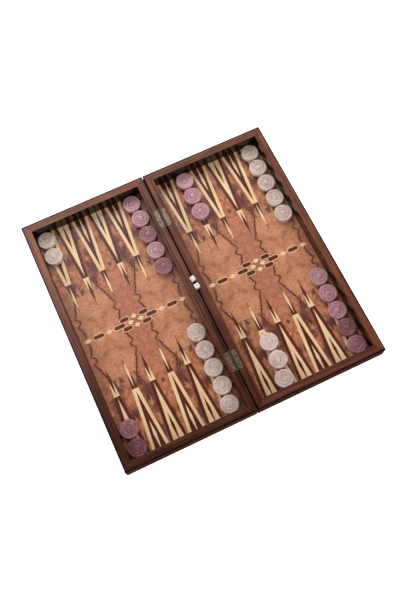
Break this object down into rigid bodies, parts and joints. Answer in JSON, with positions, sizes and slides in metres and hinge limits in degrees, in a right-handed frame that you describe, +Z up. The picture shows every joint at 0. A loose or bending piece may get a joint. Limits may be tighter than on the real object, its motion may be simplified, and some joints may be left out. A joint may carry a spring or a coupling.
{
  "type": "backgammon set",
  "caption": "Folding wooden board open on two brass butt hinges, with inlaid points, pearl checkers set up for play and a pair of dice on the middle rails.",
  "frame": {"origin": "on the table, at the middle of the hinge line of the open board", "axes": "+X across to the right half, +Y along the hinge line to the far end, +Z up"},
  "size_m": [0.502, 0.503, 0.044],
  "materials": {
    "walnut_rail": "gloss lacquered walnut, near black on the side faces",
    "walnut_bar": "gloss lacquered dark walnut with long grain",
    "burl_veneer": "gloss lacquered book-matched burl veneer",
    "light_inlay": "gloss lacquered light maple inlay",
    "dark_inlay": "gloss lacquered dark wood inlay",
    "base_panel": "satin walnut ply",
    "hinge_brass": "aged satin brass",
    "pearl_white": "polished marbled pearl resin",
    "pearl_purple": "polished marbled purple pearl resin",
    "die_white": "polished ivory white resin",
    "pip_paint": "dark pip paint"
  },
  "bodies": {
    "right_half": {"right_outer_rail": "walnut_rail", "right_hinge_rail": "walnut_bar", "right_far_rail": "walnut_rail", "right_near_rail": "walnut_rail", "right_base_panel": "base_panel", "right_burl_veneer": "burl_veneer", "right_light_inlays": "light_inlay", "right_dark_inlays": "dark_inlay", "right_hinge_screws": "hinge_brass", "far_hinge_right_leaf": "hinge_brass", "near_hinge_right_leaf": "hinge_brass", "far_hinge_pin": "hinge_brass", "near_hinge_pin": "hinge_brass"},
    "left_half": {"left_outer_rail": "walnut_rail", "left_hinge_rail": "walnut_bar", "left_far_rail": "walnut_rail", "left_near_rail": "walnut_rail", "left_base_panel": "base_panel", "left_burl_veneer": "burl_veneer", "left_light_inlays": "light_inlay", "left_dark_inlays": "dark_inlay", "left_hinge_screws": "hinge_brass", "far_hinge_left_leaf": "hinge_brass", "near_hinge_left_leaf": "hinge_brass"},
    "white_checker_01": {"white_checker_01": "pearl_white"},
    "white_checker_02": {"white_checker_02": "pearl_white"},
    "purple_checker_01": {"purple_checker_01": "pearl_purple"},
    "purple_checker_02": {"purple_checker_02": "pearl_purple"},
    "purple_checker_03": {"purple_checker_03": "pearl_purple"},
    "purple_checker_04": {"purple_checker_04": "pearl_purple"},
    "purple_checker_05": {"purple_checker_05": "pearl_purple"},
    "purple_checker_06": {"purple_checker_06": "pearl_purple"},
    "purple_checker_07": {"purple_checker_07": "pearl_purple"},
    "white_checker_03": {"white_checker_03": "pearl_white"},
    "white_checker_04": {"white_checker_04": "pearl_white"},
    "white_checker_05": {"white_checker_05": "pearl_white"},
    "white_checker_06": {"white_checker_06": "pearl_white"},
    "white_checker_07": {"white_checker_07": "pearl_white"},
    "purple_checker_08": {"purple_checker_08": "pearl_purple"},
    "purple_checker_09": {"purple_checker_09": "pearl_purple"},
    "purple_checker_10": {"purple_checker_10": "pearl_purple"},
    "white_checker_08": {"white_checker_08": "pearl_white"},
    "white_checker_09": {"white_checker_09": "pearl_white"},
    "white_checker_10": {"white_checker_10": "pearl_white"},
    "white_checker_11": {"white_checker_11": "pearl_white"},
    "white_checker_12": {"white_checker_12": "pearl_white"},
    "white_checker_13": {"white_checker_13": "pearl_white"},
    "white_checker_14": {"white_checker_14": "pearl_white"},
    "white_checker_15": {"white_checker_15": "pearl_white"},
    "purple_checker_11": {"purple_checker_11": "pearl_purple"},
    "purple_checker_12": {"purple_checker_12": "pearl_purple"},
    "purple_checker_13": {"purple_checker_13": "pearl_purple"},
    "purple_checker_14": {"purple_checker_14": "pearl_purple"},
    "purple_checker_15": {"purple_checker_15": "pearl_purple"},
    "far_die": {"far_die": "die_white", "far_die_pips": "pip_paint"},
    "near_die": {"near_die": "die_white", "near_die_pips": "pip_paint"}
  },
  "joints": [
    {"name": "board_fold", "type": "hinge", "parent": "right_half", "child": "left_half", "pos_m": [0, 0, 0.03515], "axis": [0, -1, 0], "range_deg": [-180, 0]},
    {"name": "far_die_tip", "type": "hinge", "parent": "right_half", "child": "far_die", "pos_m": [0.014, 0.0153, 0.02452], "axis": [0, -1, 0], "range_deg": [-180, 0]},
    {"name": "near_die_tip", "type": "hinge", "parent": "right_half", "child": "near_die", "pos_m": [0.0145, -0.0007, 0.02452], "axis": [0, -1, 0], "range_deg": [-180, 0]},
    {"name": "lift_white_checker_01", "type": "slide", "parent": "left_half", "child": "white_checker_01", "axis": [0, 0, 1], "range_m": [0, 0.04]},
    {"name": "lift_white_checker_02", "type": "slide", "parent": "left_half", "child": "white_checker_02", "axis": [0, 0, 1], "range_m": [0, 0.04]},
    {"name": "lift_purple_checker_01", "type": "slide", "parent": "left_half", "child": "purple_checker_01", "axis": [0, 0, 1], "range_m": [0, 0.04]},
    {"name": "lift_purple_checker_02", "type": "slide", "parent": "left_half", "child": "purple_checker_02", "axis": [0, 0, 1], "range_m": [0, 0.04]},
    {"name": "lift_purple_checker_03", "type": "slide", "parent": "left_half", "child": "purple_checker_03", "axis": [0, 0, 1], "range_m": [0, 0.04]},
    {"name": "lift_purple_checker_04", "type": "slide", "parent": "left_half", "child": "purple_checker_04", "axis": [0, 0, 1], "range_m": [0, 0.04]},
    {"name": "lift_purple_checker_05", "type": "slide", "parent": "left_half", "child": "purple_checker_05", "axis": [0, 0, 1], "range_m": [0, 0.04]},
    {"name": "lift_purple_checker_06", "type": "slide", "parent": "left_half", "child": "purple_checker_06", "axis": [0, 0, 1], "range_m": [0, 0.04]},
    {"name": "lift_purple_checker_07", "type": "slide", "parent": "left_half", "child": "purple_checker_07", "axis": [0, 0, 1], "range_m": [0, 0.04]},
    {"name": "lift_white_checker_03", "type": "slide", "parent": "left_half", "child": "white_checker_03", "axis": [0, 0, 1], "range_m": [0, 0.04]},
    {"name": "lift_white_checker_04", "type": "slide", "parent": "left_half", "child": "white_checker_04", "axis": [0, 0, 1], "range_m": [0, 0.04]},
    {"name": "lift_white_checker_05", "type": "slide", "parent": "left_half", "child": "white_checker_05", "axis": [0, 0, 1], "range_m": [0, 0.04]},
    {"name": "lift_white_checker_06", "type": "slide", "parent": "left_half", "child": "white_checker_06", "axis": [0, 0, 1], "range_m": [0, 0.04]},
    {"name": "lift_white_checker_07", "type": "slide", "parent": "left_half", "child": "white_checker_07", "axis": [0, 0, 1], "range_m": [0, 0.04]},
    {"name": "lift_purple_checker_08", "type": "slide", "parent": "right_half", "child": "purple_checker_08", "axis": [0, 0, 1], "range_m": [0, 0.04]},
    {"name": "lift_purple_checker_09", "type": "slide", "parent": "right_half", "child": "purple_checker_09", "axis": [0, 0, 1], "range_m": [0, 0.04]},
    {"name": "lift_purple_checker_10", "type": "slide", "parent": "right_half", "child": "purple_checker_10", "axis": [0, 0, 1], "range_m": [0, 0.04]},
    {"name": "lift_white_checker_08", "type": "slide", "parent": "right_half", "child": "white_checker_08", "axis": [0, 0, 1], "range_m": [0, 0.04]},
    {"name": "lift_white_checker_09", "type": "slide", "parent": "right_half", "child": "white_checker_09", "axis": [0, 0, 1], "range_m": [0, 0.04]},
    {"name": "lift_white_checker_10", "type": "slide", "parent": "right_half", "child": "white_checker_10", "axis": [0, 0, 1], "range_m": [0, 0.04]},
    {"name": "lift_white_checker_11", "type": "slide", "parent": "right_half", "child": "white_checker_11", "axis": [0, 0, 1], "range_m": [0, 0.04]},
    {"name": "lift_white_checker_12", "type": "slide", "parent": "right_half", "child": "white_checker_12", "axis": [0, 0, 1], "range_m": [0, 0.04]},
    {"name": "lift_white_checker_13", "type": "slide", "parent": "right_half", "child": "white_checker_13", "axis": [0, 0, 1], "range_m": [0, 0.04]},
    {"name": "lift_white_checker_14", "type": "slide", "parent": "right_half", "child": "white_checker_14", "axis": [0, 0, 1], "range_m": [0, 0.04]},
    {"name": "lift_white_checker_15", "type": "slide", "parent": "right_half", "child": "white_checker_15", "axis": [0, 0, 1], "range_m": [0, 0.04]},
    {"name": "lift_purple_checker_11", "type": "slide", "parent": "right_half", "child": "purple_checker_11", "axis": [0, 0, 1], "range_m": [0, 0.04]},
    {"name": "lift_purple_checker_12", "type": "slide", "parent": "right_half", "child": "purple_checker_12", "axis": [0, 0, 1], "range_m": [0, 0.04]},
    {"name": "lift_purple_checker_13", "type": "slide", "parent": "right_half", "child": "purple_checker_13", "axis": [0, 0, 1], "range_m": [0, 0.04]},
    {"name": "lift_purple_checker_14", "type": "slide", "parent": "right_half", "child": "purple_checker_14", "axis": [0, 0, 1], "range_m": [0, 0.04]},
    {"name": "lift_purple_checker_15", "type": "slide", "parent": "right_half", "child": "purple_checker_15", "axis": [0, 0, 1], "range_m": [0, 0.04]}
  ],
  "couplings": [
    {"joint": "far_die_tip", "follows": "board_fold", "ratio": 1},
    {"joint": "near_die_tip", "follows": "board_fold", "ratio": 1}
  ]
}
